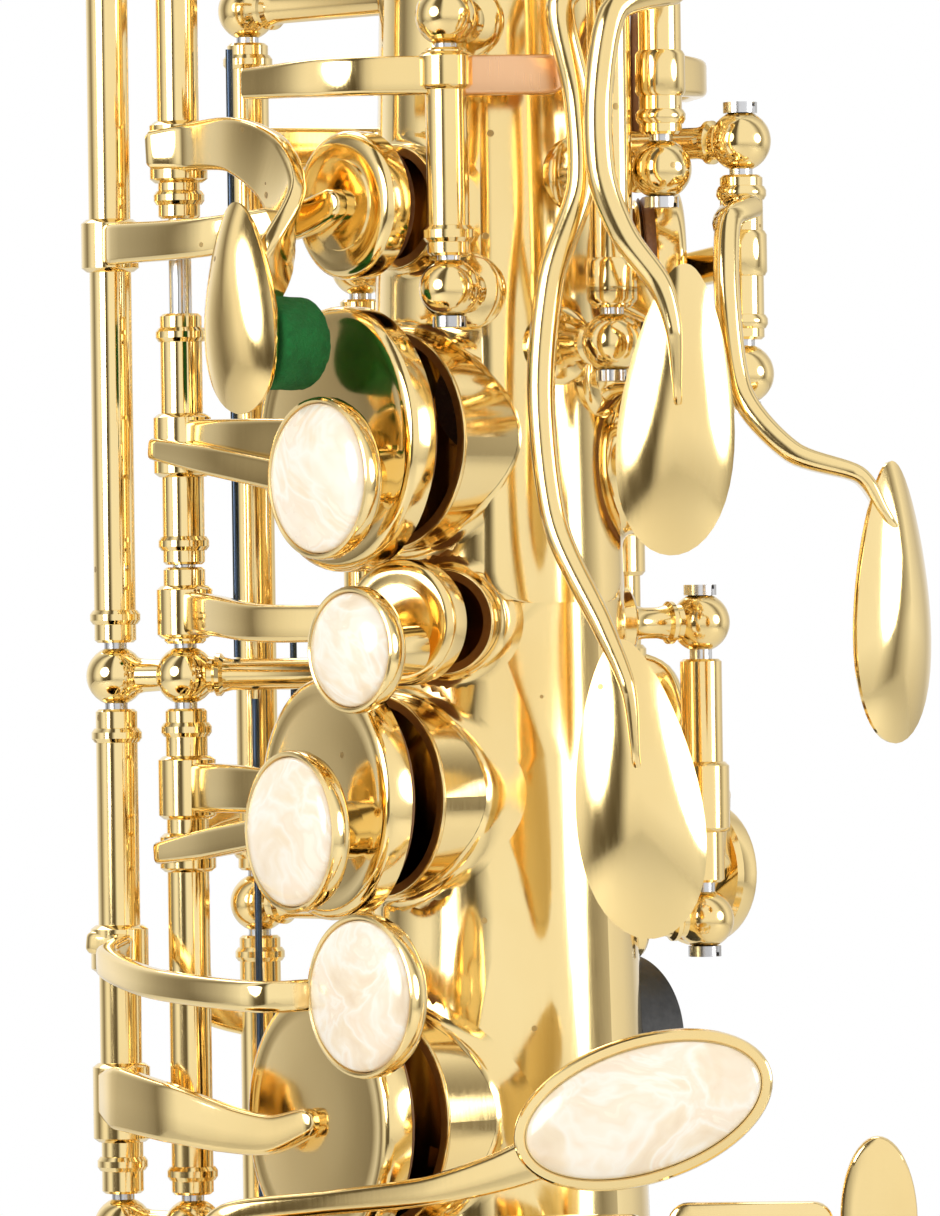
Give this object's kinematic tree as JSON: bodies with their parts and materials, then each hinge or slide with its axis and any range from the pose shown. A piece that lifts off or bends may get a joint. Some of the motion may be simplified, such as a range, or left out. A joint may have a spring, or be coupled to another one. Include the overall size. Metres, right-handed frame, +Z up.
{
  "type": "alto saxophone",
  "caption": "Lacquered brass alto saxophone with bell, bow, curved neck and mouthpiece, sprung key work on steel rods, leather pads and pearl finger touches.",
  "frame": {"origin": "centre of the strap ring on the back of the body tube, where the horn hangs", "axes": "+Z up along the body tube, -Y towards the bell, +Y towards the player, +X to the player's left"},
  "size_m": [0.13, 0.3497, 0.6499],
  "materials": {
    "lacquered_brass": "bright gold lacquer",
    "steel": "turned steel",
    "spring_steel": "blued steel",
    "pearl": "polished mother of pearl",
    "ebonite": "polished black ebonite",
    "cork": "natural cork",
    "cane": "natural cane",
    "felt": "green wool felt",
    "black_plastic": "satin"
  },
  "bodies": {
    "horn": {"body_tube": "lacquered_brass", "neck_receiver": "lacquered_brass", "bow": "lacquered_brass", "bell": "lacquered_brass", "bow_rings": "lacquered_brass", "bell_brace": "lacquered_brass", "strap_ring": "lacquered_brass", "thumb_hook": "lacquered_brass", "thumb_rest": "black_plastic", "upper_posts": "lacquered_brass", "lower_posts": "lacquered_brass", "palm_posts": "lacquered_brass", "bell_posts": "lacquered_brass", "hinge_rods": "steel", "pivot_screws": "steel", "needle_springs": "spring_steel", "key_guards": "lacquered_brass", "guard_felts": "felt", "neck_tube": "lacquered_brass", "neck_cork": "cork", "mouthpiece": "ebonite", "ligature": "lacquered_brass", "clamp_screws": "steel", "reed": "cane"},
    "octave_thumb_lever": {"octave_lever": "lacquered_brass"},
    "body_octave_key": {"octave_key": "lacquered_brass"},
    "front_f_touch": {"front_f_key": "lacquered_brass", "front_f_felt": "felt"},
    "front_f_link": {"front_f_link": "lacquered_brass"},
    "palm_f": {"palm_f_key": "lacquered_brass"},
    "palm_d": {"palm_d_key": "lacquered_brass"},
    "palm_eb": {"palm_eb_key": "lacquered_brass"},
    "side_e": {"side_e_key": "lacquered_brass"},
    "side_c": {"side_c_key": "lacquered_brass"},
    "side_bb": {"side_bb_key": "lacquered_brass"},
    "upper_c": {"upper_c_key": "lacquered_brass"},
    "b_stack": {"b_key": "lacquered_brass", "b_pearl": "pearl"},
    "bis_stack": {"bis_key": "lacquered_brass", "bis_pearl": "pearl"},
    "a_stack": {"a_key": "lacquered_brass", "a_pearl": "pearl"},
    "g_stack": {"g_key": "lacquered_brass", "g_pearl": "pearl"},
    "g_sharp_touch": {"gs_lever": "lacquered_brass", "gs_pearl": "pearl"},
    "g_sharp_cup": {"gs_key": "lacquered_brass"},
    "f_sharp_stack": {"fs_key": "lacquered_brass"},
    "f_stack": {"f_key": "lacquered_brass", "f_pearl": "pearl"},
    "e_stack": {"e_key": "lacquered_brass", "e_pearl": "pearl"},
    "d_stack": {"d_key": "lacquered_brass", "d_pearl": "pearl"},
    "low_eb": {"low_eb_key": "lacquered_brass"},
    "low_c": {"low_c_key": "lacquered_brass"},
    "low_cs": {"low_cs_key": "lacquered_brass"},
    "low_b": {"low_b_key": "lacquered_brass"},
    "low_bb": {"low_bb_key": "lacquered_brass"},
    "neck_octave": {"neck_octave_key": "lacquered_brass"}
  },
  "joints": [
    {"name": "octave_thumb_lever_hinge", "type": "hinge", "parent": "horn", "child": "octave_thumb_lever", "pos_m": [0.01174, -0.00893, 0.117], "axis": [0, 0, 1], "range_deg": [0, 8], "stiffness_Nm_per_rad": 0.012, "springref_deg": -3.44},
    {"name": "body_octave_key_hinge", "type": "hinge", "parent": "horn", "child": "body_octave_key", "pos_m": [0, -0.009, 0.138], "axis": [0, 0, -1], "range_deg": [0, 10], "stiffness_Nm_per_rad": 0.012, "springref_deg": -3.44},
    {"name": "front_f_touch_hinge", "type": "hinge", "parent": "horn", "child": "front_f_touch", "pos_m": [-0.03019, -0.05061, 0.196], "axis": [0, 0, 1], "range_deg": [0, 3], "stiffness_Nm_per_rad": 0.012, "springref_deg": -3.44},
    {"name": "front_f_link_hinge", "type": "hinge", "parent": "horn", "child": "front_f_link", "pos_m": [0.01057, -0.05137, 0.186], "axis": [0, 0, -1], "range_deg": [0, 4], "stiffness_Nm_per_rad": 0.012, "springref_deg": -3.44},
    {"name": "palm_f_hinge", "type": "hinge", "parent": "horn", "child": "palm_f", "pos_m": [0.02718, -0.0343, 0.2], "axis": [0, 0, -1], "range_deg": [0, 7], "stiffness_Nm_per_rad": 0.012, "springref_deg": -3.44},
    {"name": "palm_d_hinge", "type": "hinge", "parent": "horn", "child": "palm_d", "pos_m": [0.0241, -0.0395, 0.188], "axis": [0, 0, -1], "range_deg": [0, 8], "stiffness_Nm_per_rad": 0.012, "springref_deg": -3.44},
    {"name": "palm_eb_hinge", "type": "hinge", "parent": "horn", "child": "palm_eb", "pos_m": [0.03271, -0.02705, 0.175], "axis": [0, 0, -1], "range_deg": [0, 8], "stiffness_Nm_per_rad": 0.012, "springref_deg": -3.44},
    {"name": "side_e_hinge", "type": "hinge", "parent": "horn", "child": "side_e", "pos_m": [-0.03798, -0.02967, 0.1], "axis": [0, 0, 1], "range_deg": [0, 8], "stiffness_Nm_per_rad": 0.012, "springref_deg": -3.44},
    {"name": "side_c_hinge", "type": "hinge", "parent": "horn", "child": "side_c", "pos_m": [-0.02913, -0.0204, 0.076], "axis": [0, 0, 1], "range_deg": [0, 8], "stiffness_Nm_per_rad": 0.012, "springref_deg": -3.44},
    {"name": "side_bb_hinge", "type": "hinge", "parent": "horn", "child": "side_bb", "pos_m": [-0.02443, -0.01191, 0.046], "axis": [0, 0, 1], "range_deg": [0, 8], "stiffness_Nm_per_rad": 0.012, "springref_deg": -3.44},
    {"name": "upper_c_hinge", "type": "hinge", "parent": "horn", "child": "upper_c", "pos_m": [-0.03854, -0.05325, 0.171], "axis": [0, 0, 1], "range_deg": [0, 5.6], "stiffness_Nm_per_rad": 0.012, "springref_deg": -3.44},
    {"name": "b_stack_hinge", "type": "hinge", "parent": "horn", "child": "b_stack", "pos_m": [-0.03019, -0.05061, 0.156], "axis": [0, 0, 1], "range_deg": [0, 7], "stiffness_Nm_per_rad": 0.012, "springref_deg": -3.44},
    {"name": "bis_stack_hinge", "type": "hinge", "parent": "horn", "child": "bis_stack", "pos_m": [-0.03019, -0.05061, 0.136], "axis": [0, 0, 1], "range_deg": [0, 7], "stiffness_Nm_per_rad": 0.012, "springref_deg": -3.44},
    {"name": "a_stack_hinge", "type": "hinge", "parent": "horn", "child": "a_stack", "pos_m": [-0.03019, -0.05061, 0.098], "axis": [0, 0, 1], "range_deg": [0, 7], "stiffness_Nm_per_rad": 0.012, "springref_deg": -3.44},
    {"name": "g_stack_hinge", "type": "hinge", "parent": "horn", "child": "g_stack", "pos_m": [-0.03854, -0.05325, 0.098], "axis": [0, 0, 1], "range_deg": [0, 7], "stiffness_Nm_per_rad": 0.012, "springref_deg": -3.44},
    {"name": "g_sharp_touch_hinge", "type": "hinge", "parent": "horn", "child": "g_sharp_touch", "pos_m": [-0.01383, -0.06206, 0.048], "axis": [0, 0, 1], "range_deg": [0, 3], "stiffness_Nm_per_rad": 0.012, "springref_deg": -3.44},
    {"name": "g_sharp_cup_hinge", "type": "hinge", "parent": "horn", "child": "g_sharp_cup", "pos_m": [-0.00992, -0.06561, 0.025], "axis": [0, 0, 1], "range_deg": [0, 8], "stiffness_Nm_per_rad": 0.012, "springref_deg": -3.44},
    {"name": "f_sharp_stack_hinge", "type": "hinge", "parent": "horn", "child": "f_sharp_stack", "pos_m": [-0.00992, -0.06561, 0.01], "axis": [0, 0, -1], "range_deg": [0, 7], "stiffness_Nm_per_rad": 0.012, "springref_deg": -3.44},
    {"name": "f_stack_hinge", "type": "hinge", "parent": "horn", "child": "f_stack", "pos_m": [-0.00992, -0.06561, -0.024], "axis": [0, 0, -1], "range_deg": [0, 7], "stiffness_Nm_per_rad": 0.012, "springref_deg": -3.44},
    {"name": "e_stack_hinge", "type": "hinge", "parent": "horn", "child": "e_stack", "pos_m": [-0.00992, -0.06561, -0.064], "axis": [0, 0, -1], "range_deg": [0, 7], "stiffness_Nm_per_rad": 0.012, "springref_deg": -3.44},
    {"name": "d_stack_hinge", "type": "hinge", "parent": "horn", "child": "d_stack", "pos_m": [-0.00992, -0.06561, -0.104], "axis": [0, 0, -1], "range_deg": [0, 7], "stiffness_Nm_per_rad": 0.012, "springref_deg": -3.44},
    {"name": "low_eb_hinge", "type": "hinge", "parent": "horn", "child": "low_eb", "pos_m": [-0.03523, -0.01676, -0.157], "axis": [0, 0, 1], "range_deg": [0, 8], "stiffness_Nm_per_rad": 0.012, "springref_deg": -3.44},
    {"name": "low_c_hinge", "type": "hinge", "parent": "horn", "child": "low_c", "pos_m": [-0.0409, -0.02814, -0.188], "axis": [0, 0, 1], "range_deg": [0, 7], "stiffness_Nm_per_rad": 0.012, "springref_deg": -3.44},
    {"name": "low_cs_hinge", "type": "hinge", "parent": "horn", "child": "low_cs", "pos_m": [0.00657, -0.05812, -0.074], "axis": [0, 0, 1], "range_deg": [0, 5], "stiffness_Nm_per_rad": 0.012, "springref_deg": -3.44},
    {"name": "low_b_hinge", "type": "hinge", "parent": "horn", "child": "low_b", "pos_m": [0.01478, -0.05515, -0.049], "axis": [0, 0, 1], "range_deg": [0, 4], "stiffness_Nm_per_rad": 0.012, "springref_deg": -3.44},
    {"name": "low_bb_hinge", "type": "hinge", "parent": "horn", "child": "low_bb", "pos_m": [0.02186, -0.05052, -0.024], "axis": [0, 0, 1], "range_deg": [0, 4], "stiffness_Nm_per_rad": 0.012, "springref_deg": -3.44},
    {"name": "neck_octave_hinge", "type": "hinge", "parent": "horn", "child": "neck_octave", "pos_m": [0, -0.0462, 0.26], "axis": [1, 0, 0], "range_deg": [0, 4], "stiffness_Nm_per_rad": 0.02, "springref_deg": -3.44}
  ],
  "couplings": [
    {"joint": "neck_octave_hinge", "follows": "octave_thumb_lever_hinge", "ratio": 0.5},
    {"joint": "g_sharp_cup_hinge", "follows": "g_sharp_touch_hinge", "ratio": 1.6},
    {"joint": "front_f_link_hinge", "follows": "front_f_touch_hinge", "ratio": 1},
    {"joint": "upper_c_hinge", "follows": "b_stack_hinge", "ratio": 0.8},
    {"joint": "f_sharp_stack_hinge", "follows": "f_stack_hinge", "ratio": 1}
  ]
}
